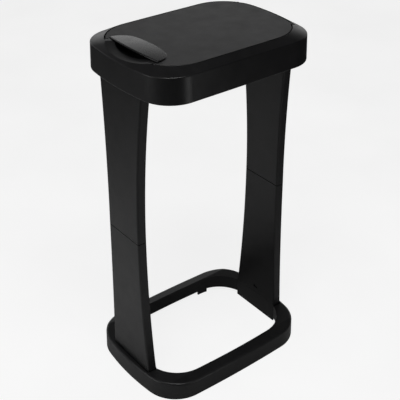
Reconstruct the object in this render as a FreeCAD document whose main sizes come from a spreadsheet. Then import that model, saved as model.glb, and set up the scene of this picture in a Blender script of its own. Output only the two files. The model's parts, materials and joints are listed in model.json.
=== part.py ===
import FreeCAD, Part
import math
import os
import Sketcher
from FreeCAD import Placement, Rotation, Vector

# Free-standing plastic bag holder: a base ring, two hour-glass posts made of two halves each,
# a bag frame on top of the posts, and a lift-off cover (lid frame) with a hinged lid.
# X runs along the long side, Y along the short side, Z up.
# The origin is on the floor in the middle of the base.
# The finger lift is at the -X end, the lid's hinge at the +X end.

doc = FreeCAD.newDocument("bag_holder")
sheet = doc.addObject("Spreadsheet::Sheet", "Sizes")

SIZES = {
    "total_height": 650.0,
    # Base ring, outside and inside
    "base_half_length": 176.7,
    "base_half_width": 130.2,
    "base_corner": 68.6,
    "base_bow_end": 17.0,
    "base_bow_side": 6.2,
    "base_height": 37.4,
    "base_draft": 1.0,
    "base_width": 23.4,
    "hole_corner": 67.0,
    "base_round": 5.0,
    "side_band": 33.5,
    "side_slope": 9.0,
    "base_wall": 2.5,
    "inner_wall_lift": 8.5,
    "lug_length": 22.0,
    "lug_place": 89.0,
    # Pads of the base ring that carry the posts
    "pad_height": 40.0,
    "plug_length": 34.0,
    "plug_clearance": 0.2,
    "plug_wall": 2.0,
    "foot_plug_narrow": 2.7,
    "foot_plug_taper": 0.8,
    "nose_recess": 1.8,
    "window_height": 54.5,
    "window_width": 10.0,
    "window_tall": 5.0,
    # Posts: heights, then half width, outer face and thickness at five heights
    "waist_height": 319.0,
    "low_mid_height": 180.0,
    "high_mid_height": 475.0,
    "post_top_height": 631.4,
    "foot_half_width": 57.3,
    "low_mid_half_width": 48.6,
    "waist_half_width": 45.0,
    "high_mid_half_width": 47.9,
    "top_half_width": 62.5,
    "foot_outer": 166.3,
    "low_mid_outer": 168.0,
    "waist_outer": 167.6,
    "high_mid_outer": 164.3,
    "top_outer": 158.0,
    "foot_thick": 18.6,
    "low_mid_thick": 18.0,
    "waist_thick": 17.6,
    "high_mid_thick": 17.9,
    "top_thick": 18.4,
    "post_corner": 3.0,
    "post_wall": 2.2,
    "post_gap": 0.3,
    "seam_gap": 1.2,
    "spigot_length": 28.0,
    "spigot_taper": 0.3,
    "top_plug_length": 25.0,
    "top_plug_narrow": 3.3,
    "top_plug_taper": 1.3,
    # Cover: skirt, chamfer, lid opening and ledge
    "rim_half_length": 167.4,
    "rim_half_width": 119.9,
    "rim_corner": 56.7,
    "rim_bow_end": 14.0,
    "rim_bow_side": 1.0,
    "rim_skirt": 44.7,
    "rim_draft": 1.5,
    "rim_chamfer_tall": 8.65,
    "rim_chamfer_wide": 15.6,
    "rim_wall": 2.5,
    "rim_round": 2.0,
    "rim_inner_inset": 11.4,
    "opening_corner": 71.0,
    "lid_gap": 1.8,
    "lid_thick": 3.0,
    "lid_round": 1.0,
    "ledge_width": 9.0,
    "ledge_thick": 2.2,
    "rest_gap": 0.3,
    # Lid hinge
    "hinge_inset": 8.7,
    "hinge_drop": 3.5,
    "pin_radius": 1.5,
    "pin_clearance": 0.06,
    "barrel_radius": 3.2,
    "barrel_start": 60.0,
    "barrel_end": 71.5,
    "pin_end": 79.0,
    "hinge_relief": 5.2,
    "relief_start": 58.0,
    "barrel_room": 0.8,
    "pin_play": 0.3,
    "web_length": 8.0,
    "web_root": 0.6,
    "boss_half": 5.0,
    "boss_tall": 20.0,
    "swing_before": 12.0,
    "hinge_boss_length": 10.0,
    "lid_rib_length": 92.0,
    "lid_rib_width": 91.0,
    "lid_rib_tall": 5.0,
    "lid_rib_thick": 2.0,
    "lid_rib_corner": 51.0,
    "lid_rib_bow": 6.0,
    # Finger lift and the scoop in front of it
    "hood_middle": 133.0,
    "hood_half_length": 36.5,
    "hood_half_width": 65.0,
    "hood_corner": 30.0,
    "hood_bow_end": 7.0,
    "hood_bow_side": 0.5,
    "hood_front": 139.6,
    "hood_front_arc": 260.0,
    "hood_front_reach": 8.0,
    "hood_ball": 620.0,
    "hood_ball_middle": 171.0,
    "hood_ball_top": 6.8,
    "hood_thick": 2.5,
    "hood_round": 1.5,
    "hood_step": 1.3,
    "hood_seat": 2.5,
    "hood_clearance": 0.12,
    "hook_place": 6.0,
    "hook_width": 6.0,
    "hook_thick": 2.4,
    "hook_reach": 5.5,
    "hook_root": 1.5,
    "hook_gap": 0.1,
    "scoop_depth": 4.7,
    "scoop_middle": 152.0,
    "scoop_radius": 409.0,
    "scoop_slope": -5.0,
    "scoop_plate": 2.4,
    "scoop_run": 60.0,
    "scoop_high_end": 133.0,
    "finger_hole_arc": 92.0,
    "finger_hole_reach": 147.0,
    # Finger well: a closed tray under the finger lift
    "well_drop": 8.5,
    "well_wall": 2.2,
    "well_inset": 3.0,
    "well_back": 114.0,
    # Bag frame
    "collar_gap": 1.0,
    "collar_tall": 38.0,
    "collar_wall": 2.5,
    "collar_deck": 2.6,
    "deck_reach": 138.5,
    "deck_half_width": 68.0,
    "collar_window": 64.5,
}

for row, (alias, value) in enumerate(SIZES.items(), start=1):
    sheet.set("A%d" % row, alias)
    sheet.set("B%d" % row, str(value))
    sheet.setAlias("B%d" % row, alias)
doc.recompute()


def value_of(expression):
    """The number that an expression of the sheet's sizes gives now."""
    result = sheet.evalExpression(expression)
    return float(getattr(result, "Value", result))


def bind(item, **sizes):
    """Bind properties of a document object to expressions; __ stands for a dot."""
    for name, expression in sizes.items():
        item.setExpression(name.replace("__", "."), expression)
    return item


# ---------------------------------------------------------------- outlines and solids

def bowed_outline(name, half_x, half_y, corner, bow_end, bow_side, height):
    """A closed outline of four shallow side arcs and four tangent corner arcs."""
    end_radius = "((%s)^2 + (%s)^2) / (2 * (%s))" % (half_y, bow_end, bow_end)
    side_radius = "((%s)^2 + (%s)^2) / (2 * (%s))" % (half_x, bow_side, bow_side)
    end_centre = "%s - (%s)" % (end_radius, half_x)
    side_centre = "%s - (%s)" % (side_radius, half_y)

    radius_e = value_of(end_radius)
    radius_s = value_of(side_radius)
    radius_c = value_of(corner)
    centre_e = Vector(-value_of(end_centre), 0, 0)
    centre_s = Vector(0, -value_of(side_centre), 0)
    # The corner centre is radius_e - radius_c from one side centre and
    # radius_s - radius_c from the other.
    reach_e = radius_e - radius_c
    reach_s = radius_s - radius_c
    between = centre_e - centre_s
    along = (between.Length ** 2 + reach_s ** 2 - reach_e ** 2) / (2 * between.Length)
    across = math.sqrt(reach_s ** 2 - along ** 2)
    unit = Vector(between).normalize()
    normal = Vector(-unit.y, unit.x, 0)
    centres = [centre_s + unit * along + normal * side * across for side in (1, -1)]
    centre_c = max(centres, key=lambda point: point.x + point.y)
    turn_e = math.atan2(centre_c.y - centre_e.y, centre_c.x - centre_e.x)
    turn_s = math.atan2(centre_c.y - centre_s.y, centre_c.x - centre_s.x)

    sketch = doc.addObject("Sketcher::SketchObject", name)
    quarter = math.pi / 2
    up = Vector(0, 0, 1)

    def arc(centre, radius, start, end):
        sketch.addGeometry(Part.ArcOfCircle(Part.Circle(centre, up, radius), start, end), False)

    def mirrored(point, sign_x, sign_y):
        return Vector(sign_x * point.x, sign_y * point.y, 0)

    arc(centre_e, radius_e, -turn_e, turn_e)
    arc(centre_c, radius_c, turn_e, turn_s)
    arc(centre_s, radius_s, turn_s, 2 * quarter - turn_s)
    arc(mirrored(centre_c, -1, 1), radius_c, 2 * quarter - turn_s, 2 * quarter - turn_e)
    arc(mirrored(centre_e, -1, 1), radius_e, 2 * quarter - turn_e, 2 * quarter + turn_e)
    arc(mirrored(centre_c, -1, -1), radius_c, 2 * quarter + turn_e, 2 * quarter + turn_s)
    arc(mirrored(centre_s, 1, -1), radius_s, 2 * quarter + turn_s, 4 * quarter - turn_s)
    arc(mirrored(centre_c, 1, -1), radius_c, 4 * quarter - turn_s, 4 * quarter - turn_e)

    for index in range(8):
        sketch.addConstraint(Sketcher.Constraint("Tangent", index, 2, (index + 1) % 8, 1))
    for index, axis in ((0, -1), (4, -1), (2, -2), (6, -2)):
        sketch.addConstraint(Sketcher.Constraint("PointOnObject", index, 3, axis))
    for first, second in ((1, 3), (1, 5), (1, 7), (0, 4), (2, 6)):
        sketch.addConstraint(Sketcher.Constraint("Equal", first, second))
    driving = (
        (Sketcher.Constraint("Radius", 1, radius_c), corner),
        (Sketcher.Constraint("Radius", 0, radius_e), end_radius),
        (Sketcher.Constraint("Radius", 2, radius_s), side_radius),
        (Sketcher.Constraint("DistanceX", 0, 3, -1, 1, -centre_e.x), end_centre),
        (Sketcher.Constraint("DistanceX", -1, 1, 4, 3, -centre_e.x), end_centre),
        (Sketcher.Constraint("DistanceY", 2, 3, -1, 1, -centre_s.y), side_centre),
        (Sketcher.Constraint("DistanceY", -1, 1, 6, 3, -centre_s.y), side_centre),
    )
    for constraint, expression in driving:
        index = sketch.addConstraint(constraint)
        sketch.setExpression("Constraints[%d]" % index, expression)
    sketch.setExpression("Placement.Base.z", height)
    return sketch


def post_section(name, outer, thick, half_width, corner, height):
    """A rounded rectangle for the +X post: outer face, thickness and half width."""
    x_out = value_of(outer)
    x_in = value_of("%s - (%s)" % (outer, thick))
    y_max = value_of(half_width)
    radius = value_of(corner)
    sketch = doc.addObject("Sketcher::SketchObject", name)
    up = Vector(0, 0, 1)
    quarter = math.pi / 2
    corners = ((x_out, y_max), (x_in, y_max), (x_in, -y_max), (x_out, -y_max))
    signs = ((-1, -1), (1, -1), (1, 1), (-1, 1))
    for index in range(4):
        x, y = corners[index]
        sign_x, sign_y = signs[index]
        centre = Vector(x + sign_x * radius, y + sign_y * radius, 0)
        start = index * quarter
        circle = Part.Circle(centre, up, radius)
        sketch.addGeometry(Part.ArcOfCircle(circle, start, start + quarter), False)
        next_x, next_y = corners[(index + 1) % 4]
        next_sign_x, next_sign_y = signs[(index + 1) % 4]
        next_centre = Vector(next_x + next_sign_x * radius, next_y + next_sign_y * radius, 0)
        turn = start + quarter
        side = Vector(math.cos(turn), math.sin(turn), 0) * radius
        sketch.addGeometry(Part.LineSegment(centre + side, next_centre + side), False)
    for index in range(8):
        sketch.addConstraint(Sketcher.Constraint("Tangent", index, 2, (index + 1) % 8, 1))
    for first, second in ((0, 2), (0, 4), (0, 6)):
        sketch.addConstraint(Sketcher.Constraint("Equal", first, second))
    sketch.addConstraint(Sketcher.Constraint("Horizontal", 1))
    driving = (
        (Sketcher.Constraint("Radius", 0, radius), corner),
        (Sketcher.Constraint("DistanceX", -1, 1, 7, 1, x_out), outer),
        (Sketcher.Constraint("DistanceX", -1, 1, 3, 1, x_in), "%s - (%s)" % (outer, thick)),
        (Sketcher.Constraint("DistanceY", -1, 1, 1, 1, y_max), half_width),
        (Sketcher.Constraint("DistanceY", 5, 1, -1, 1, y_max), half_width),
    )
    for constraint, expression in driving:
        index = sketch.addConstraint(constraint)
        sketch.setExpression("Constraints[%d]" % index, expression)
    sketch.setExpression("Placement.Base.z", height)
    return sketch


def loft(name, sections, ruled=True):
    solid = doc.addObject("Part::Loft", name)
    solid.Sections = sections
    solid.Solid = True
    solid.Ruled = ruled
    return solid


def fuse(name, *pieces):
    joined = doc.addObject("Part::MultiFuse", name)
    joined.Shapes = list(pieces)
    return joined


def cut(name, base, *tools):
    tool = tools[0] if len(tools) == 1 else fuse(name + "_tools", *tools)
    result = doc.addObject("Part::Cut", name)
    result.Base = base
    result.Tool = tool
    return result


def common(name, first, second):
    result = doc.addObject("Part::Common", name)
    result.Base = first
    result.Tool = second
    return result


def box(name, x, y, z, length, width, height):
    """A box from its lowest corner and its three sizes, all as expressions."""
    solid = doc.addObject("Part::Box", name)
    bind(solid, Length=length, Width=width, Height=height)
    return bind(solid, Placement__Base__x=x, Placement__Base__y=y, Placement__Base__z=z)


def cylinder(name, radius, height, x, y, z, axis=Vector(0, 0, 1)):
    solid = doc.addObject("Part::Cylinder", name)
    solid.Placement = Placement(Vector(), Rotation(Vector(0, 0, 1), axis))
    bind(solid, Radius=radius, Height=height)
    return bind(solid, Placement__Base__x=x, Placement__Base__y=y, Placement__Base__z=z)


def sphere(name, radius, x, y, z):
    solid = doc.addObject("Part::Sphere", name)
    bind(solid, Radius=radius)
    return bind(solid, Placement__Base__x=x, Placement__Base__y=y, Placement__Base__z=z)


def fillet(name, base, radius, wanted):
    """Round the edges of base for which wanted(edge) is true."""
    doc.recompute()
    size = value_of(radius)
    chosen = [
        (number, size, size)
        for number, edge in enumerate(base.Shape.Edges, start=1)
        if wanted(edge)
    ]
    if not chosen:
        raise RuntimeError("no edges to round for " + name)
    rounded = doc.addObject("Part::Fillet", name)
    rounded.Base = base
    rounded.Edges = chosen
    return rounded


def level_edge(height, outside=0.0):
    """A test for edges that lie flat at one height and reach beyond a distance in X or Y."""
    def test(edge):
        limits = edge.BoundBox
        flat = abs(limits.ZMin - height) < 0.05 and abs(limits.ZMax - height) < 0.05
        reach = max(abs(limits.XMin), abs(limits.XMax)) + max(abs(limits.YMin), abs(limits.YMax))
        return flat and reach > outside
    return test


def mirrored_copy(name, source):
    """The same solid on the other side of the YZ plane."""
    copy = doc.addObject("Part::Mirroring", name)
    copy.Source = source
    copy.Base = Vector(0, 0, 0)
    copy.Normal = Vector(1, 0, 0)
    return copy


# ---------------------------------------------------------------- shared heights

TOP = "Sizes.total_height"
RIM_EDGE = "Sizes.total_height - Sizes.rim_chamfer_tall"
RIM_BOTTOM = RIM_EDGE + " - Sizes.rim_skirt"
LID_UNDER = "Sizes.total_height - Sizes.lid_thick"
LEDGE_TOP = LID_UNDER + " - Sizes.rest_gap"
LEDGE_UNDER = LEDGE_TOP + " - Sizes.ledge_thick"
BASE_TOP = "Sizes.base_height"
HINGE_X = (
    "Sizes.rim_half_length - Sizes.rim_chamfer_wide - Sizes.lid_gap - Sizes.hinge_inset"
)
HINGE_Z = "Sizes.total_height - Sizes.hinge_drop"
SEAT_TOP = LID_UNDER + " + Sizes.hood_step"


# ---------------------------------------------------------------- base ring

def base_outline(name, inset, corner, height):
    return bowed_outline(
        name,
        "Sizes.base_half_length - (%s)" % inset,
        "Sizes.base_half_width - (%s)" % inset,
        corner,
        "Sizes.base_bow_end",
        "Sizes.base_bow_side",
        height,
    )


def base_prism(name, inset, corner, low, high):
    """A straight-sided solid with the outline of the base ring's hole."""
    return loft(name, [
        base_outline(name + "_low", inset, corner, low),
        base_outline(name + "_high", inset, corner, high),
    ])


def post_prism(name, outer, thick, half_width, low, high):
    return loft(name, [
        post_section(name + "_low", outer, thick, half_width, "Sizes.post_corner / 2", low),
        post_section(name + "_high", outer, thick, half_width, "Sizes.post_corner / 2", high),
    ])


def hollow_plug(name, station, narrow, taper, low, high, open_low):
    """The hollow tongue that enters the open end of a post at one of its stations."""
    outer = "Sizes.%s_outer - Sizes.post_wall - Sizes.plug_clearance" % station
    slack = "2 * Sizes.post_wall + 2 * Sizes.plug_clearance + " + taper
    thick = "Sizes.%s_thick - (%s)" % (station, slack)
    half = (
        "Sizes.%s_half_width - Sizes.post_wall - Sizes.plug_clearance - (%s)" % (station, narrow)
    )
    body = post_prism(name + "_body", outer, thick, half, low, high)
    room_low = low + (" - 1" if open_low else " + Sizes.plug_wall")
    room_high = high + (" - Sizes.plug_wall" if open_low else " + 1")
    room = post_prism(
        name + "_room",
        outer + " - Sizes.plug_wall",
        thick + " - 2 * Sizes.plug_wall",
        half + " - Sizes.plug_wall",
        room_low,
        room_high,
    )
    return body, room


def build_base_ring():
    floor_line = base_outline("base_floor", "0", "Sizes.base_corner", "0")
    top_line = base_outline("base_top", "Sizes.base_draft",
                            "Sizes.base_corner - Sizes.base_draft", BASE_TOP)
    blank = loft("base_blank", [floor_line, top_line])
    sloped = cut("base_sloped", blank, *side_slopes("outer", "Sizes.side_band"))
    rounded = fillet("base_rounded", sloped, "Sizes.base_round", outer_top_edge)

    # Pads under the posts, in the post's own foot section
    foot_half = "Sizes.foot_half_width"
    pad = post_prism("pad", "Sizes.foot_outer", "Sizes.foot_thick", foot_half,
                     "0", "Sizes.pad_height")
    pad_room = post_prism(
        "pad_room",
        "Sizes.foot_outer - Sizes.post_wall",
        "Sizes.foot_thick - 2 * Sizes.post_wall",
        foot_half + " - Sizes.post_wall",
        "-1",
        "Sizes.pad_height - Sizes.post_wall",
    )
    plug, plug_room = hollow_plug(
        "foot_plug", "foot", "Sizes.foot_plug_narrow", "Sizes.foot_plug_taper",
        "Sizes.pad_height - 1", "Sizes.pad_height + Sizes.plug_length", True,
    )
    plug_room_low = "Sizes.pad_height - Sizes.post_wall - 1"
    plug_room.Sections[0].setExpression("Placement.Base.z", plug_room_low)
    nose = box(
        "nose",
        "Sizes.foot_outer - Sizes.foot_thick + Sizes.nose_recess",
        "-(Sizes.window_width - 0.6) / 2",
        "Sizes.window_height - (Sizes.window_tall - 0.6) / 2",
        "Sizes.post_wall + 2",
        "Sizes.window_width - 0.6",
        "Sizes.window_tall - 0.6",
    )
    socket = fuse("socket", pad, plug)
    sockets = [socket, mirrored_copy("socket_left", socket)]
    noses = [nose, mirrored_copy("nose_left", nose)]
    rooms = [pad_room, mirrored_copy("pad_room_left", pad_room)]
    rooms += [plug_room, mirrored_copy("plug_room_left", plug_room)]

    # The ring is open below: outer skin, inner wall, and nothing between them
    hole = base_prism("base_hole", "Sizes.base_width", "Sizes.hole_corner", "-2", BASE_TOP + " + 2")
    inner_inset = "Sizes.base_width - Sizes.base_wall"
    inner_corner = "Sizes.hole_corner + Sizes.base_wall"
    keep = base_prism("base_keep", inner_inset, inner_corner, "-3", BASE_TOP + " + 2")
    channel = cut("base_channel", channel_room("ring"), keep)

    # The inner wall stops short of the floor, except at four lugs and at the post pads
    lift = cut(
        "wall_lift",
        base_prism("lift_solid", inner_inset + " - 0.2", inner_corner + " + 0.2",
                   "-1", "Sizes.inner_wall_lift"),
        *wall_supports(),
    )
    ring = cut("ring_open", rounded, hole, channel)
    ring = cut("ring_lifted", ring, lift)
    ring = fuse("ring_padded", ring, *sockets)
    ring = cut("ring_hollow", ring, *rooms, channel_copy())
    ring = fuse("ring_nosed", ring, *noses)
    return ring


def side_slopes(name, low):
    """What to take off the long sides: all that is above a slope from the outer edge inwards."""
    tools = []
    for sign, label in ((-1, "front"), (1, "back")):
        block = doc.addObject("Part::Box", "slope_%s_%s" % (name, label))
        turn = value_of("Sizes.side_slope")
        block.Placement = Placement(Vector(), Rotation(Vector(1, 0, 0), -sign * turn))
        bind(block, Length="400", Width="60", Height="60")
        # The block's lower face passes through the outer edge at the height low.
        if sign < 0:
            start_y = "-Sizes.base_half_width"
            start_z = low
        else:
            reach = "60 * cos(Sizes.side_slope * 1deg)"
            start_y = "Sizes.base_half_width - " + reach
            start_z = low + " + 60 * sin(Sizes.side_slope * 1deg)"
        bind(block, Placement__Base__x="-200", Placement__Base__y=start_y,
             Placement__Base__z=start_z)
        tools.append(block)
    return tools


def outer_top_edge(edge):
    """True for the edges round the top of the base's outer band."""
    limits = edge.BoundBox
    middle = edge.valueAt((edge.FirstParameter + edge.LastParameter) / 2)
    inside = abs(middle.y) < value_of("Sizes.base_half_width - Sizes.base_width / 2")
    level = limits.ZMax - limits.ZMin < 0.1
    across = level and inside and abs(middle.x) < 100
    return limits.ZMin > 20 and not across


def channel_room(name):
    """The room under the ring's skin, one wall thickness smaller than its outside."""
    wall = "Sizes.base_wall"
    corner = "Sizes.base_corner - Sizes.base_wall"
    low = base_outline("room_low_" + name, wall, corner, "-1")
    high = base_outline("room_high_" + name, "Sizes.base_draft + " + wall,
                        corner + " - Sizes.base_draft", BASE_TOP + " - " + wall)
    block = loft("room_block_" + name, [low, high])
    drop = "Sizes.side_band - 1.1 * " + wall
    return cut("room_" + name, block, *side_slopes("room_" + name, drop))


def channel_copy():
    """The ring's open channel once more, so that the pads are hollow where they stand in it."""
    inside = base_prism("channel_keep", "Sizes.base_width - Sizes.base_wall",
                        "Sizes.hole_corner + Sizes.base_wall", "-3", BASE_TOP)
    return cut("channel_under_pads", channel_room("pads"), inside)


def wall_supports():
    """Where the inner wall reaches the floor: lugs on the long sides, pads at the ends."""
    supports = []
    for sign_x in (1, -1):
        for sign_y in (1, -1):
            centre = "%d * Sizes.lug_place" % sign_x
            across = "%d * (Sizes.base_half_width - Sizes.base_width)" % sign_y
            name = "lug_%d%d" % (sign_x + 1, sign_y + 1)
            supports.append(box(name, centre + " - Sizes.lug_length / 2", across + " - 12", "-2",
                                "Sizes.lug_length", "24", "Sizes.inner_wall_lift + 4"))
    return supports


# ---------------------------------------------------------------- posts

def station(name, place, height, inset):
    """One cross-section of the post, drawn inset from its outside."""
    return post_section(
        name,
        "Sizes.%s_outer - (%s)" % (place, inset),
        "Sizes.%s_thick - 2 * (%s)" % (place, inset),
        "Sizes.%s_half_width - (%s)" % (place, inset),
        "Sizes.post_corner - (%s)" % inset,
        height,
    )


def post_shell(name, places, heights, room_heights):
    """Outside and inside of a post half, each lofted smoothly through three sections."""
    outside = loft(name + "_outside", [
        station("%s_out_%s" % (name, place), place, height, "0")
        for place, height in zip(places, heights)
    ], ruled=False)
    inside = loft(name + "_inside", [
        station("%s_in_%s" % (name, place), place, height, "Sizes.post_wall")
        for place, height in zip(places, room_heights)
    ], ruled=False)
    return cut(name + "_shell", outside, inside)


def build_lower_post(side):
    foot = "Sizes.pad_height + Sizes.post_gap"
    middle = "Sizes.low_mid_height"
    waist = "Sizes.waist_height"
    shell = post_shell("lower_" + side, ("foot", "low_mid", "waist"),
                       (foot, middle, waist), (foot + " - 1", middle, waist + " + 1"))
    window = box(
        "window_" + side,
        "Sizes.foot_outer - Sizes.foot_thick - 2",
        "-Sizes.window_width / 2",
        "Sizes.window_height - Sizes.window_tall / 2",
        "Sizes.post_wall + 4.5",
        "Sizes.window_width",
        "Sizes.window_tall",
    )
    return cut("lower_post_" + side, shell, window)


def build_upper_post(side):
    seam = "Sizes.waist_height + Sizes.seam_gap"
    middle = "Sizes.high_mid_height"
    top = "Sizes.post_top_height"
    shell = post_shell("upper_" + side, ("waist", "high_mid", "top"),
                       (seam, middle, top),
                       (seam + " + Sizes.post_wall", middle, top + " + 1"))
    spigot, spigot_room = hollow_plug(
        "spigot_" + side, "waist", "0", "Sizes.spigot_taper",
        "Sizes.waist_height - Sizes.spigot_length", seam + " + 1", True,
    )
    return fuse("upper_post_" + side, shell, cut("spigot_tube_" + side, spigot, spigot_room))


# ---------------------------------------------------------------- bag frame

def rim_outline(name, inset, corner, height):
    return bowed_outline(
        name,
        "Sizes.rim_half_length - (%s)" % inset,
        "Sizes.rim_half_width - (%s)" % inset,
        corner,
        "Sizes.rim_bow_end",
        "Sizes.rim_bow_side",
        height,
    )


def rim_prism(name, inset, corner, low, high):
    return loft(name, [
        rim_outline(name + "_low", inset, corner, low),
        rim_outline(name + "_high", inset, corner, high),
    ])


def build_bag_frame():
    inset = "Sizes.rim_draft + Sizes.rim_wall + Sizes.collar_gap"
    collar_low = RIM_EDGE + " - Sizes.collar_tall"
    collar_high = RIM_EDGE + " - 1.4"
    deck_low = "Sizes.post_top_height + Sizes.post_gap"
    outside = rim_prism("collar_outside", inset, "Sizes.rim_corner - (%s)" % inset,
                        collar_low, collar_high)
    inner = inset + " + Sizes.collar_wall"
    inside = rim_prism("collar_inside", inner, "Sizes.rim_corner - (%s)" % inner,
                       collar_low + " - 1", collar_high + " + 1")
    filled = rim_prism("deck_outline", inset + " + 1", "Sizes.rim_corner - (%s + 1)" % inset,
                       deck_low, deck_low + " + Sizes.collar_deck")
    deck_area = box("deck_area", "Sizes.deck_reach", "-Sizes.deck_half_width", deck_low,
                    "60", "2 * Sizes.deck_half_width", "Sizes.collar_deck")
    deck = common("deck_right", filled, deck_area)
    window = box("collar_window", "Sizes.deck_reach", "-Sizes.collar_window",
                 collar_low + " - 1", "60", "2 * Sizes.collar_window",
                 deck_low + " - (%s) + 1" % collar_low)
    plug, plug_room = hollow_plug(
        "top_plug", "top", "Sizes.top_plug_narrow", "Sizes.top_plug_taper",
        "Sizes.post_top_height - Sizes.top_plug_length", deck_low + " + 0.5", True,
    )
    plug_tube = cut("top_plug_tube", plug, plug_room)
    collar = cut("collar", outside, inside, window, mirrored_copy("collar_window_left", window))
    return fuse("bag_frame", collar, deck, mirrored_copy("deck_left", deck),
                plug_tube, mirrored_copy("top_plug_left", plug_tube))


# ---------------------------------------------------------------- lid frame

# How far the cutting blocks reach past the part
FAR = "300"
FINGER_HOLE_X = "-Sizes.finger_hole_reach + Sizes.finger_hole_arc"


def scoop_cylinder(name, drop):
    """The long shallow cylinder that hollows the rim under the finger lift."""
    slope = math.radians(value_of("Sizes.scoop_slope"))
    along = Vector(math.cos(slope), 0, -math.sin(slope))
    solid = doc.addObject("Part::Cylinder", name)
    solid.Placement = Placement(Vector(), Rotation(Vector(0, 0, 1), along))
    bind(solid, Radius="Sizes.scoop_radius", Height="1.5 * Sizes.scoop_run")
    lean = "(Sizes.scoop_slope * 1deg)"
    start_x = (
        "-Sizes.scoop_middle + Sizes.scoop_radius * sin(%s) - Sizes.scoop_run * cos(%s)"
        % (lean, lean)
    )
    start_z = (
        "Sizes.total_height - Sizes.scoop_depth - (%s) + Sizes.scoop_radius * cos(%s)"
        " + Sizes.scoop_run * sin(%s)" % (drop, lean, lean)
    )
    return bind(solid, Placement__Base__x=start_x, Placement__Base__z=start_z)


def build_lid_frame():
    skirt_foot = rim_outline("skirt_foot", "0", "Sizes.rim_corner", RIM_BOTTOM)
    skirt_head = rim_outline("skirt_head", "Sizes.rim_draft", "Sizes.rim_corner - Sizes.rim_draft",
                             RIM_EDGE)
    rim_top = rim_outline("rim_top", "Sizes.rim_chamfer_wide", "Sizes.opening_corner", TOP)
    outside = fuse("rim_outside", loft("skirt_solid", [skirt_foot, skirt_head]),
                   loft("chamfer_solid", [skirt_head, rim_top]))
    edge_height = value_of(RIM_EDGE)
    foot_height = value_of(RIM_BOTTOM)
    rounded = fillet("rim_rounded", outside, "Sizes.rim_round", level_edge(edge_height))
    rounded = fillet("rim_lipped", rounded, "Sizes.rim_round", level_edge(foot_height))

    wall = "Sizes.rim_wall"
    room_foot = rim_outline("rim_room_foot", wall, "Sizes.rim_corner - " + wall, RIM_BOTTOM + " - 1")
    room_head = rim_outline("rim_room_head", "Sizes.rim_draft + " + wall,
                            "Sizes.rim_corner - Sizes.rim_draft - " + wall, RIM_EDGE + " - 0.9")
    room_top = rim_outline("rim_room_top", "Sizes.rim_inner_inset", "Sizes.rim_corner", LEDGE_UNDER)
    room = fuse("rim_room", loft("rim_room_low", [room_foot, room_head]),
                loft("rim_room_high", [room_head, room_top]))
    ledge_inset = "Sizes.rim_chamfer_wide + Sizes.ledge_width"
    ledge_hole = rim_prism("ledge_hole", ledge_inset, "Sizes.opening_corner - Sizes.ledge_width",
                           LEDGE_UNDER + " - 5", TOP + " + 1")
    shell = cut("rim_shell", rounded, room, ledge_hole)

    # Solid bosses that hold the hinge pins, and room for the lid's end to swing down
    bosses = []
    for sign, label in ((1, "back"), (-1, "front")):
        if sign > 0:
            low_y = "Sizes.barrel_end + 1"
        else:
            low_y = "-(Sizes.barrel_end + 1 + Sizes.hinge_boss_length)"
        block = box("hinge_block_" + label, HINGE_X + " - Sizes.boss_half", low_y,
                    HINGE_Z + " - Sizes.boss_half", "2 * Sizes.boss_half",
                    "Sizes.hinge_boss_length", "Sizes.boss_tall")
        bosses.append(common("hinge_boss_" + label, rounded, block))
    opening = rim_prism("lid_opening", "Sizes.rim_chamfer_wide", "Sizes.opening_corner",
                        LEDGE_TOP, TOP + " + 1")
    swing_area = box("swing_area", HINGE_X + " - Sizes.swing_before",
                     "-(Sizes.barrel_end + Sizes.barrel_room)", LEDGE_UNDER + " - 30",
                     "60", "2 * (Sizes.barrel_end + Sizes.barrel_room)", "45")
    swing_outline = rim_prism("swing_outline", "Sizes.rim_chamfer_wide", "Sizes.opening_corner",
                              LEDGE_UNDER + " - 20", TOP)
    swing = common("lid_swing", swing_outline, swing_area)
    reliefs = [
        cylinder("hinge_relief_" + label, "Sizes.hinge_relief",
                 "Sizes.barrel_end + Sizes.barrel_room - Sizes.relief_start",
                 HINGE_X, low_y, HINGE_Z, Vector(0, 1, 0))
        for label, low_y in (("back", "Sizes.relief_start"),
                             ("front", "-(Sizes.barrel_end + Sizes.barrel_room)"))
    ]
    pin_holes = [
        cylinder("pin_hole_" + label, "Sizes.pin_radius",
                 "Sizes.pin_end - Sizes.barrel_end + Sizes.pin_play",
                 HINGE_X, low_y, HINGE_Z, Vector(0, 1, 0))
        for label, low_y in (("back", "Sizes.barrel_end"),
                             ("front", "-(Sizes.pin_end + Sizes.pin_play)"))
    ]

    # The dished plate that closes the scoop, with its concave inner edge
    scoop = scoop_cylinder("scoop", "0")
    plate = cut("scoop_skin", scoop_cylinder("scoop_below", "Sizes.scoop_plate"), scoop)
    low_area = hood_prism("plate_area_low", "Sizes.lid_gap", LEDGE_TOP + " - 60", LEDGE_TOP)
    high_area = common(
        "plate_area_high",
        hood_prism("plate_outline_high", "Sizes.lid_gap", LEDGE_TOP + " - 1", TOP + " + 1"),
        box("plate_end", "-" + FAR, "-" + FAR, LEDGE_TOP + " - 1",
            FAR + " - Sizes.scoop_high_end", "2 * " + FAR, "20"),
    )
    plate_area = fuse("plate_area", low_area, high_area)
    plate = common("scoop_plate", common("scoop_in_rim", rounded, plate), plate_area)
    plate = cut("scoop_crescent", plate, finger_opening("finger_hole"))

    frame = cut("frame_opened", fuse("frame_blank", shell, *bosses), opening, swing, scoop_solid())
    frame = fuse("frame_scooped", frame, plate)
    frame = cut("frame_trimmed", frame, finger_opening("finger_edge"), *reliefs, *pin_holes)
    return fuse("lid_frame", frame, build_finger_well())


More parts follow.
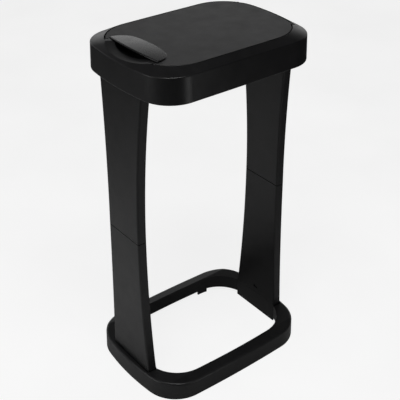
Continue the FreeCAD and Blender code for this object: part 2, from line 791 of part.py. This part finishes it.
def build_finger_well():
    """A tray under the finger lift, so that the opening for the fingers is closed below."""
    floor = LEDGE_UNDER + " - Sizes.well_drop"

    def filled(name, wall, low, high):
        """The well's plan inset by a wall: an arc in front, the hood's outline, a flat back."""
        arc = cylinder(name + "_arc", "Sizes.finger_hole_arc + Sizes.well_wall - (%s)" % wall,
                       "%s - (%s)" % (high, low), FINGER_HOLE_X, "0", low)
        plan = hood_prism(name + "_plan", "Sizes.well_inset + (%s)" % wall, low, high)
        end = box(name + "_end", "-" + FAR, "-" + FAR, low,
                  FAR + " - Sizes.well_back - (%s)" % wall, "2 * " + FAR, "%s - (%s)" % (high, low))
        return common(name + "_blank", common(name + "_front", arc, plan), end)

    outer = filled("well_outer", "0", floor, LEDGE_TOP + " - 0.2")
    inner = filled("well_inner", "Sizes.well_wall", floor + " + Sizes.well_wall", LEDGE_TOP)
    return cut("finger_well", outer, inner, scoop_cylinder("scoop_over_well", "0"))


def scoop_solid():
    return scoop_cylinder("scoop_tool", "0")


def finger_opening(name):
    """The round cutter that gives the scoop and the ledge their concave inner edge."""
    return cylinder(name, "Sizes.finger_hole_arc", "80", FINGER_HOLE_X, "0", TOP + " - 70")


# ---------------------------------------------------------------- lid panel and finger lift

def build_lid_panel():
    inset = "Sizes.rim_chamfer_wide + Sizes.lid_gap"
    plate = rim_prism("lid_plate", inset, "Sizes.opening_corner - Sizes.lid_gap", LID_UNDER, TOP)
    top_height = value_of(TOP)
    plate = fillet("lid_rounded", plate, "Sizes.lid_round", level_edge(top_height))

    # Barrels and their webs on the underside at the +X end
    webs = []
    for label, low_y in (("back", "Sizes.barrel_start"), ("front", "-Sizes.barrel_end")):
        length = "Sizes.barrel_end - Sizes.barrel_start"
        barrel = cylinder("barrel_" + label, "Sizes.barrel_radius", length,
                          HINGE_X, low_y, HINGE_Z, Vector(0, 1, 0))
        web = box("barrel_web_" + label, HINGE_X + " - Sizes.web_length", low_y,
                  HINGE_Z + " - Sizes.barrel_radius + Sizes.web_root", "Sizes.web_length", length,
                  "Sizes.barrel_radius + Sizes.web_root")
        webs += [barrel, web]
    bores = [
        cylinder("bore_" + label, "Sizes.pin_radius + Sizes.pin_clearance",
                 "Sizes.barrel_end - Sizes.barrel_start + 2", HINGE_X, low_y, HINGE_Z,
                 Vector(0, 1, 0))
        for label, low_y in (("back", "Sizes.barrel_start - 1"), ("front", "-Sizes.barrel_end - 1"))
    ]

    # A closed stiffening rib under the lid
    rib = cut("lid_rib", lid_rib_prism("rib_outside", "0", LID_UNDER + " + 1"),
              lid_rib_prism("rib_inside", "Sizes.lid_rib_thick", LID_UNDER))

    # Opening for the finger lift: the hood's outline, with a thin seat under its edge
    hole_over = hood_prism("lift_hole_over", "-Sizes.hood_clearance", SEAT_TOP, TOP + " + 5")
    hole_through = hood_prism("lift_hole_through", "Sizes.hood_seat", LID_UNDER + " - 30", TOP)
    end_trim = common(
        "lift_end_trim",
        hood_prism("end_trim_outline", "-Sizes.hood_clearance", LID_UNDER + " - 30", TOP + " + 5"),
        box("end_trim_area", "-" + FAR, "-" + FAR, LID_UNDER + " - 30",
            FAR + " - Sizes.hood_front + Sizes.hood_front_reach", "2 * " + FAR, "60"),
    )
    panel = fuse("lid_blank", plate, rib, *webs)
    return cut("lid_panel", panel, hole_over, hole_through, end_trim, *bores)


def lid_rib_prism(name, inset, high):
    low = LID_UNDER + " - Sizes.lid_rib_tall"
    if inset != "0":
        low += " - 1"
    half_x = "Sizes.lid_rib_length - (%s)" % inset
    half_y = "Sizes.lid_rib_width - (%s)" % inset
    corner = "Sizes.lid_rib_corner - (%s)" % inset
    return loft(name, [
        bowed_outline(name + suffix, half_x, half_y, corner, "Sizes.lid_rib_bow",
                      "Sizes.rim_bow_side", height)
        for suffix, height in (("_low", low), ("_high", high))
    ])


def hood_prism(name, inset, low, high):
    """A straight-sided solid with the blunt outline of the finger lift, inset from its edge."""
    sketches = []
    for suffix, height in (("_low", low), ("_high", high)):
        sketch = bowed_outline(
            name + suffix,
            "Sizes.hood_half_length - (%s)" % inset,
            "Sizes.hood_half_width - (%s)" % inset,
            "Sizes.hood_corner - (%s)" % inset,
            "Sizes.hood_bow_end",
            "Sizes.hood_bow_side",
            height,
        )
        sketches.append(bind(sketch, Placement__Base__x="-Sizes.hood_middle"))
    return loft(name, sketches)


def build_finger_lift():
    """A shallow domed hood with a low rounded border, hollow below and open towards -X."""
    ball_z = TOP + " + Sizes.hood_ball_top - Sizes.hood_ball"
    ball = sphere("hood_ball", "Sizes.hood_ball", "-Sizes.hood_ball_middle", "0", ball_z)
    hollow = sphere("hood_hollow", "Sizes.hood_ball - Sizes.hood_thick",
                    "-Sizes.hood_ball_middle", "0", ball_z)
    front_area = cylinder("hood_front_area", "Sizes.hood_front_arc", "60",
                          "Sizes.hood_front_arc - Sizes.hood_front", "0", TOP + " - 25")
    low = SEAT_TOP + " + Sizes.hook_gap"
    block = common("hood_block", hood_prism("hood_outline", "0", low, TOP + " + 20"), front_area)
    blank = common("hood_blank", block, ball)
    lid_height = value_of(TOP)
    rounded = fillet("hood_rounded", blank, "Sizes.hood_round",
                     lambda edge: edge.BoundBox.ZMin > lid_height)
    room = common(
        "hood_room",
        hood_prism("hood_room_outline", "Sizes.hood_seat - 0.2", low + " - 5", TOP + " + 20"),
        hollow,
    )

    # Two hooks that catch under the lid behind the hood
    hook_x = "-Sizes.hood_middle + Sizes.hood_half_length - Sizes.hook_place"
    hook_low = LID_UNDER + " - Sizes.hook_gap - Sizes.hook_thick"
    hooks = []
    for label, low_y in (("back", "Sizes.hook_width"), ("front", "-2 * Sizes.hook_width")):
        leg = box("lift_leg_" + label, hook_x, low_y, hook_low,
                  "Sizes.hook_thick", "Sizes.hook_width",
                  "Sizes.hook_thick + Sizes.lid_thick + Sizes.hook_root")
        toe = box("lift_toe_" + label, hook_x, low_y, hook_low,
                  "Sizes.hook_reach", "Sizes.hook_width", "Sizes.hook_thick")
        hooks += [leg, toe]
    return fuse("finger_lift", cut("hood_shell", rounded, room), *hooks)


def build_hinge_pin(label):
    low_y = "Sizes.barrel_start + Sizes.pin_play" if label == "back" else "-Sizes.pin_end"
    return cylinder("lid_hinge_pin_" + label, "Sizes.pin_radius",
                    "Sizes.pin_end - Sizes.barrel_start - Sizes.pin_play", HINGE_X, low_y, HINGE_Z,
                    Vector(0, 1, 0))


# ---------------------------------------------------------------- assembly

HALF_TURN = Placement(Vector(0, 0, 0), Rotation(Vector(0, 0, 1), 180))

pieces = {"base_ring": build_base_ring()}
for side_name in ("right", "left"):
    pieces["lower_post_" + side_name] = build_lower_post(side_name)
    pieces["upper_post_" + side_name] = build_upper_post(side_name)
pieces["bag_frame"] = build_bag_frame()
pieces["lid_frame"] = build_lid_frame()
pieces["lid_panel"] = build_lid_panel()
pieces["finger_lift"] = build_finger_lift()
for pin_name in ("front", "back"):
    pieces["lid_hinge_pin_" + pin_name] = build_hinge_pin(pin_name)
# Both posts are the same mouldings; the left pair is turned half round.
for left_piece in ("lower_post_left", "upper_post_left"):
    pieces[left_piece].Placement = HALF_TURN
doc.recompute()

for item in doc.Objects:
    if "Invalid" in item.State or "Error" in item.State:
        raise RuntimeError("%s failed: %s" % (item.Name, item.State))
for node, item in pieces.items():
    item.Label = node
    if item.Shape.isNull() or not item.Shape.isValid():
        raise RuntimeError("%s has no valid shape" % node)

os.makedirs("parts", exist_ok=True)
for node, item in pieces.items():
    item.Shape.exportStep("parts/%s.step" % node)
    limits = item.Shape.BoundBox
    print("%-22s solids %d volume %8.0f  x %7.1f %7.1f  y %7.1f %7.1f  z %6.1f %6.1f" % (
        node, len(item.Shape.Solids), item.Shape.Volume, limits.XMin, limits.XMax,
        limits.YMin, limits.YMax, limits.ZMin, limits.ZMax))
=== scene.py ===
import json

import bpy
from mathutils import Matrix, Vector


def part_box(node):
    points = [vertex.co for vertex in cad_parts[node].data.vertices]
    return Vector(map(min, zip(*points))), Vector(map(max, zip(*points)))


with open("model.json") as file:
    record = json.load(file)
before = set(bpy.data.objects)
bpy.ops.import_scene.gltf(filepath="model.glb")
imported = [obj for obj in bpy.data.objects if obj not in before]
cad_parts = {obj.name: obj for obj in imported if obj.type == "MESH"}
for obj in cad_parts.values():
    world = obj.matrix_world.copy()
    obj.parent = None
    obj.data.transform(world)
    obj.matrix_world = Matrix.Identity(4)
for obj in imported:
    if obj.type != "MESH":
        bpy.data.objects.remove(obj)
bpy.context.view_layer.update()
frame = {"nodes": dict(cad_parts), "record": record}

# Looks for the free-standing bag holder: moulded black plastic, two steel pins.
# Metres, Z up, +X towards the lid's hinge, -Y towards the long side that faces the camera.

MM = 0.001

base_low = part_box("base_ring")[0]


# ---------------------------------------------------------------- shader helpers

class Graph:
    """A short way to write a node tree: every call adds one node and returns its output."""

    def __init__(self, name):
        self.material = bpy.data.materials.new(name)
        self.material.use_nodes = True
        self.tree = self.material.node_tree
        self.tree.nodes.clear()
        self.place = self.add("ShaderNodeTexCoord").outputs["Object"]

    def add(self, kind):
        return self.tree.nodes.new(kind)

    def put(self, socket, value):
        """A value or another node's output goes into a socket."""
        if isinstance(value, bpy.types.NodeSocket):
            self.tree.links.new(value, socket)
        elif isinstance(value, tuple) and len(value) < len(socket.default_value):
            socket.default_value = (*value, 1.0)
        else:
            socket.default_value = value

    def maths(self, operation, first, second=0.0, limit=False):
        node = self.add("ShaderNodeMath")
        node.operation = operation
        node.use_clamp = limit
        self.put(node.inputs[0], first)
        self.put(node.inputs[1], second)
        return node.outputs[0]

    def noise(self, scale, detail=4.0, roughness=0.55, stretch=(1.0, 1.0, 1.0), shift=0.0):
        """Smooth noise of about 1 / scale metres, from 0 to 1, stretched along some axes."""
        mapping = self.add("ShaderNodeMapping")
        self.put(mapping.inputs["Vector"], self.place)
        mapping.inputs["Location"].default_value = (shift, 0.37 * shift, 0.71 * shift)
        mapping.inputs["Scale"].default_value = stretch
        node = self.add("ShaderNodeTexNoise")
        self.put(node.inputs["Vector"], mapping.outputs[0])
        node.inputs["Scale"].default_value = scale
        node.inputs["Detail"].default_value = detail
        node.inputs["Roughness"].default_value = roughness
        return node.outputs[0]

    def cells(self, scale, shift=0.0):
        """Distance to the nearest of many scattered points: the dimples of an etched mould."""
        mapping = self.add("ShaderNodeMapping")
        self.put(mapping.inputs["Vector"], self.place)
        mapping.inputs["Location"].default_value = (shift, shift, shift)
        node = self.add("ShaderNodeTexVoronoi")
        node.feature = "SMOOTH_F1"
        self.put(node.inputs["Vector"], mapping.outputs[0])
        node.inputs["Scale"].default_value = scale
        return node.outputs["Distance"]

    def ramp(self, value, start, end, low=0.0, high=1.0):
        """Low before start, high after end, straight between."""
        node = self.add("ShaderNodeMapRange")
        node.clamp = True
        self.put(node.inputs["Value"], value)
        node.inputs["From Min"].default_value = start
        node.inputs["From Max"].default_value = end
        self.put(node.inputs["To Min"], low)
        self.put(node.inputs["To Max"], high)
        return node.outputs[0]

    def blend(self, share, first, second):
        """Colour mix: first at share 0, second at share 1."""
        node = self.add("ShaderNodeMix")
        node.data_type = "RGBA"
        self.put(node.inputs["Factor"], share)
        self.put(node.inputs["A"], first)
        self.put(node.inputs["B"], second)
        return node.outputs["Result"]

    def part_of(self, vector, axis):
        node = self.add("ShaderNodeSeparateXYZ")
        self.put(node.inputs[0], vector)
        return node.outputs[axis]

    def edge_mask(self, radius):
        """Near 1 on sharp or tightly rounded edges, 0 on flat areas."""
        bevel = self.add("ShaderNodeBevel")
        bevel.samples = 6
        bevel.inputs["Radius"].default_value = radius
        geometry = self.add("ShaderNodeNewGeometry")
        product = self.add("ShaderNodeVectorMath")
        product.operation = "DOT_PRODUCT"
        self.put(product.inputs[0], bevel.outputs[0])
        self.put(product.inputs[1], geometry.outputs["Normal"])
        return self.ramp(product.outputs["Value"], 0.995, 0.86), bevel.outputs[0]

    def painted_crevice_shade(self, reach):
        """1 on open faces, falling to 0 deep in seams and corners; used to paint shade there."""
        node = self.add("ShaderNodeAmbientOcclusion")
        node.samples = 8
        node.inputs["Distance"].default_value = reach
        return self.ramp(node.outputs["AO"], 0.45, 0.92)

    def height_bump(self, height, strength, depth, normal):
        node = self.add("ShaderNodeBump")
        node.inputs["Strength"].default_value = strength
        node.inputs["Distance"].default_value = depth
        self.put(node.inputs["Height"], height)
        self.put(node.inputs["Normal"], normal)
        return node.outputs[0]


EDGE_RADIUS = 0.6 * MM
PAINTED_SHADE_REACH = 3.0 * MM
DUST_TONE = (0.080, 0.079, 0.077)
SCUFF_TONE = (0.075, 0.073, 0.070)


def plastic(name, colour, roughness, grain_scale, grain_depth, seed, dust, gloss=0.5, scuff=0.0):
    """Moulded plastic: etched grain, slow tone and sheen changes, rubbed edges, dust, scuffs,
    painted shade in seams and corners.
    """
    g = Graph(name)
    edge, round_normal = g.edge_mask(EDGE_RADIUS)
    geometry = g.add("ShaderNodeNewGeometry")
    facing_up = g.part_of(geometry.outputs["Normal"], "Z")

    # Slow changes of tone and sheen, as the moulding cools unevenly
    cloud = g.noise(9.0, detail=3.0, shift=seed)
    patch = g.noise(38.0, detail=5.0, roughness=0.6, shift=seed + 3.1)
    light = tuple(min(1.0, 1.22 * c) for c in colour)
    dark = tuple(0.84 * c for c in colour)
    tone = g.blend(g.ramp(cloud, 0.32, 0.68), dark, light)

    # Rubbed edges are a little paler and smoother; the rub is uneven
    rub = g.maths("MULTIPLY", edge, g.ramp(patch, 0.40, 0.66, 0.15, 0.75))
    tone = g.blend(rub, tone, tuple(1.9 * c for c in colour))

    # Fine dust on faces that look up
    speck = g.noise(420.0, detail=2.0, shift=seed + 7.7)
    settled = g.maths("MULTIPLY", g.ramp(facing_up, 0.55, 0.98), g.ramp(patch, 0.30, 0.75))
    settled = g.maths("MULTIPLY", settled, g.ramp(speck, 0.42, 0.70, 0.35, 1.0))
    settled = g.maths("MULTIPLY", settled, dust, limit=True)
    tone = g.blend(settled, tone, DUST_TONE)

    # Shoes, brooms and the floor leave dull marks near the ground
    if scuff:
        level = g.part_of(g.place, "Z")
        mark = g.noise(70.0, detail=6.0, roughness=0.7, stretch=(0.35, 0.35, 2.6),
                       shift=seed + 5.0)
        mark = g.maths("MULTIPLY", g.ramp(mark, 0.57, 0.70), g.ramp(level, 0.030, 0.002))
        mark = g.maths("MULTIPLY", mark, scuff, limit=True)
        tone = g.blend(mark, tone, SCUFF_TONE)
    else:
        mark = 0.0

    # Painted shade: seams and tight corners are darkened in colour and in specular
    unshaded_share = g.painted_crevice_shade(PAINTED_SHADE_REACH)
    tone = g.blend(unshaded_share, tuple(0.1 * c for c in colour), tone)

    # Roughness: slow patches; dust and scuffs are duller, rubbed edges smoother
    rough = g.ramp(patch, 0.30, 0.70, roughness - 0.035, roughness + 0.045)
    rough = g.maths("ADD", rough, g.maths("MULTIPLY", settled, 0.25))
    rough = g.maths("ADD", rough, g.maths("MULTIPLY", mark, 0.20))
    rough = g.maths("SUBTRACT", rough, g.maths("MULTIPLY", rub, 0.08), limit=True)

    # Etched grain and the faint sinking over ribs
    grain = g.maths("ADD", g.cells(grain_scale, seed), g.noise(2.2 * grain_scale, detail=2.0))
    normal = g.height_bump(grain, 0.55, grain_depth, round_normal)
    normal = g.height_bump(cloud, 0.25, 0.5 * MM, normal)

    shader = g.add("ShaderNodeBsdfPrincipled")
    g.put(shader.inputs["Base Color"], tone)
    g.put(shader.inputs["Roughness"], rough)
    g.put(shader.inputs["Normal"], normal)
    shader.inputs["IOR"].default_value = 1.5
    # Painted shade: specular is turned down in seams and tight corners
    g.put(shader.inputs["Specular IOR Level"], g.ramp(unshaded_share, 0.0, 1.0, 0.05 * gloss, gloss))
    output = g.add("ShaderNodeOutputMaterial")
    g.put(output.inputs["Surface"], shader.outputs[0])
    return g.material


def drawn_steel(name):
    """Plain drawn wire: fine lines along Y, slightly tarnished."""
    g = Graph(name)
    lines = g.noise(900.0, detail=3.0, stretch=(1.0, 0.02, 1.0))
    stain = g.noise(120.0, detail=4.0, shift=2.0)
    tone = g.blend(g.ramp(stain, 0.35, 0.70), (0.46, 0.46, 0.47), (0.30, 0.28, 0.26))
    shader = g.add("ShaderNodeBsdfPrincipled")
    g.put(shader.inputs["Base Color"], tone)
    shader.inputs["Metallic"].default_value = 1.0
    g.put(shader.inputs["Roughness"], g.ramp(lines, 0.3, 0.7, 0.24, 0.42))
    geometry = g.add("ShaderNodeNewGeometry")
    normal = g.height_bump(lines, 0.3, 0.02 * MM, geometry.outputs["Normal"])
    g.put(shader.inputs["Normal"], normal)
    output = g.add("ShaderNodeOutputMaterial")
    g.put(output.inputs["Surface"], shader.outputs[0])
    return g.material


# ---------------------------------------------------------------- finishes

BLACK = (0.0125, 0.0125, 0.0132)

FINISHES = {
    "base_black": plastic("base_plastic", BLACK, 0.34, 900.0, 0.030 * MM, seed=1.0,
                          dust=0.02, scuff=0.4),
    "post_black": plastic("post_plastic", BLACK, 0.37, 900.0, 0.030 * MM, seed=2.0, dust=0.05),
    "frame_black": plastic("frame_plastic", BLACK, 0.45, 800.0, 0.040 * MM, seed=3.0, dust=0.05),
    "rim_black": plastic("rim_plastic", BLACK, 0.31, 900.0, 0.030 * MM, seed=4.0, dust=0.06),
    "lid_black": plastic("lid_plastic", BLACK, 0.42, 700.0, 0.050 * MM, seed=5.0, dust=0.08),
    "lift_black": plastic("lift_plastic", BLACK, 0.27, 1400.0, 0.010 * MM, seed=6.0,
                          dust=0.03, gloss=0.5),
    "pin_steel": drawn_steel("pin_metal"),
}

slots = {part["node"]: part["material_slot"] for part in frame["record"]["subparts"]}
for node_name, node in frame["nodes"].items():
    slot_name = slots[node_name]
    node.data.materials.clear()
    node.data.materials.append(FINISHES[slot_name])


# ---------------------------------------------------------------- stage

FLOOR_HALF = 12.0
FLOOR_GAP = 0.2 * MM
BACK_WALL = (0.45, 0.89, 0.0)


def stage_floor():
    """A large pale floor just under the base: bright for the camera, toned for the plastic."""
    g = Graph("floor_finish")
    cloud = g.noise(2.5, detail=4.0)
    seen = g.blend(g.ramp(cloud, 0.3, 0.7), (0.90, 0.90, 0.90), (0.93, 0.93, 0.93))
    lit = g.add("ShaderNodeBsdfDiffuse")
    g.put(lit.inputs["Color"], g.blend(0.75, seen, (0.0, 0.0, 0.0)))
    glow = g.add("ShaderNodeEmission")
    g.put(glow.inputs["Color"], seen)
    glow.inputs["Strength"].default_value = 0.92
    pale = g.add("ShaderNodeAddShader")
    g.put(pale.inputs[0], lit.outputs[0])
    g.put(pale.inputs[1], glow.outputs[0])
    # Painted light and shade for the plastic to mirror: the floor it sees is bright round the
    # base, dark further out and in front, and darker right under the middle
    ahead = g.part_of(g.place, "Y")
    sideways = g.part_of(g.place, "X")
    out = g.add("ShaderNodeVectorMath")
    out.operation = "LENGTH"
    g.put(out.inputs[0], g.place)
    near = g.ramp(out.outputs["Value"], 0.25, 1.6, 0.85, 0.20)
    depth = g.maths("SUBTRACT", ahead, g.maths("MULTIPLY", sideways, 0.5))
    behind = g.ramp(depth, -0.5, 0.7, 0.75, 1.5)
    inside = g.ramp(out.outputs["Value"], 0.05, 0.32, 0.30, 1.0)
    level = g.maths("MULTIPLY", g.maths("MULTIPLY", near, inside), behind)
    dim = g.add("ShaderNodeBsdfDiffuse")
    g.put(dim.inputs["Color"], g.blend(level, (0.0, 0.0, 0.0), (1.0, 1.0, 1.0)))
    rays = g.add("ShaderNodeLightPath")
    mixed = g.add("ShaderNodeMixShader")
    g.put(mixed.inputs[0], rays.outputs["Is Camera Ray"])
    g.put(mixed.inputs[1], dim.outputs[0])
    g.put(mixed.inputs[2], pale.outputs[0])
    output = g.add("ShaderNodeOutputMaterial")
    g.put(output.inputs["Surface"], mixed.outputs[0])

    half = FLOOR_HALF
    mesh = bpy.data.meshes.new("floor")
    low = base_low.z - FLOOR_GAP
    corners = [(-half, -half, low), (half, -half, low), (half, half, low), (-half, half, low)]
    mesh.from_pydata(corners, [], [(0, 1, 2, 3)])
    mesh.materials.append(g.material)
    floor = bpy.data.objects.new("floor", mesh)
    bpy.context.scene.collection.objects.link(floor)


def studio_world(dark, bright):
    """White for the camera; the object sees a dark room with a bright wall behind it."""
    world = bpy.data.worlds.new("studio")
    bpy.context.scene.world = world
    world.use_nodes = True
    tree = world.node_tree
    tree.nodes.clear()

    def add(kind):
        return tree.nodes.new(kind)

    def ramp(value, start, end, low, high):
        node = add("ShaderNodeMapRange")
        node.interpolation_type = "SMOOTHSTEP"
        tree.links.new(value, node.inputs["Value"])
        node.inputs["From Min"].default_value = start
        node.inputs["From Max"].default_value = end
        node.inputs["To Min"].default_value = low
        node.inputs["To Max"].default_value = high
        return node.outputs[0]

    direction = add("ShaderNodeTexCoord").outputs["Generated"]
    towards = add("ShaderNodeVectorMath")
    towards.operation = "DOT_PRODUCT"
    tree.links.new(direction, towards.inputs[0])
    towards.inputs[1].default_value = BACK_WALL
    parts = add("ShaderNodeSeparateXYZ")
    tree.links.new(direction, parts.inputs[0])
    product = add("ShaderNodeMath")
    product.operation = "MULTIPLY"
    tree.links.new(ramp(towards.outputs["Value"], 0.15, 0.95, 0.0, 1.0), product.inputs[0])
    tree.links.new(ramp(parts.outputs["Z"], 0.12, 0.54, 1.0, 0.08), product.inputs[1])

    rays = add("ShaderNodeLightPath")
    white = add("ShaderNodeBackground")
    white.inputs["Color"].default_value = (1.0, 1.0, 1.0, 1.0)
    room = add("ShaderNodeBackground")
    room.inputs["Color"].default_value = (1.0, 1.0, 1.0, 1.0)
    tree.links.new(ramp(product.outputs[0], 0.0, 1.0, dark, bright), room.inputs["Strength"])
    mixed = add("ShaderNodeMixShader")
    output = add("ShaderNodeOutputWorld")
    tree.links.new(rays.outputs["Is Camera Ray"], mixed.inputs[0])
    tree.links.new(room.outputs[0], mixed.inputs[1])
    tree.links.new(white.outputs[0], mixed.inputs[2])
    tree.links.new(mixed.outputs[0], output.inputs["Surface"])


def softbox(name, place, aim, width, height, power):
    """A rectangular soft light at a place, aimed at a point."""
    light = bpy.data.lights.new(name, "AREA")
    light.shape = "RECTANGLE"
    light.size = width
    light.size_y = height
    light.energy = power
    lamp = bpy.data.objects.new(name, light)
    lamp.location = place
    lamp.rotation_euler = (Vector(aim) - Vector(place)).to_track_quat("-Z", "Y").to_euler()
    bpy.context.scene.collection.objects.link(lamp)
    lamp.visible_camera = False
    return lamp


stage_floor()
studio_world(0.02, 0.84)
MIDDLE = (0.0, 0.0, 0.35)
RIM_CORNER = (-0.1, -0.1, 0.45)
softbox("sky_box", (-0.5, -0.7, 2.3), MIDDLE, 1.3, 0.4, 16.0)
softbox("left_box", (-2.2, 0.5, 0.9), MIDDLE, 1.4, 1.2, 9.0)
softbox("low_strip", (0.22, -0.95, 0.32), RIM_CORNER, 0.24, 0.60, 0.50)

# ---------------------------------------------------------------- camera

CAMERA_PLACE = (-0.8115, -1.0351, 1.1487)
CAMERA_TARGET = (0.0003, -0.0005, 0.3247)
LENS = 76.2

camera_data = bpy.data.cameras.new("camera")
camera_data.lens = LENS
camera_data.sensor_width = 36.0
camera_data.clip_start = 0.05
camera_data.clip_end = 60.0
camera = bpy.data.objects.new("camera", camera_data)
camera.location = CAMERA_PLACE
camera.rotation_mode = "QUATERNION"
sight = Vector(CAMERA_TARGET) - Vector(CAMERA_PLACE)
camera.rotation_quaternion = sight.to_track_quat("-Z", "Y")
bpy.context.scene.collection.objects.link(camera)
bpy.context.scene.camera = camera
bpy.context.scene.view_settings.view_transform = "Standard"
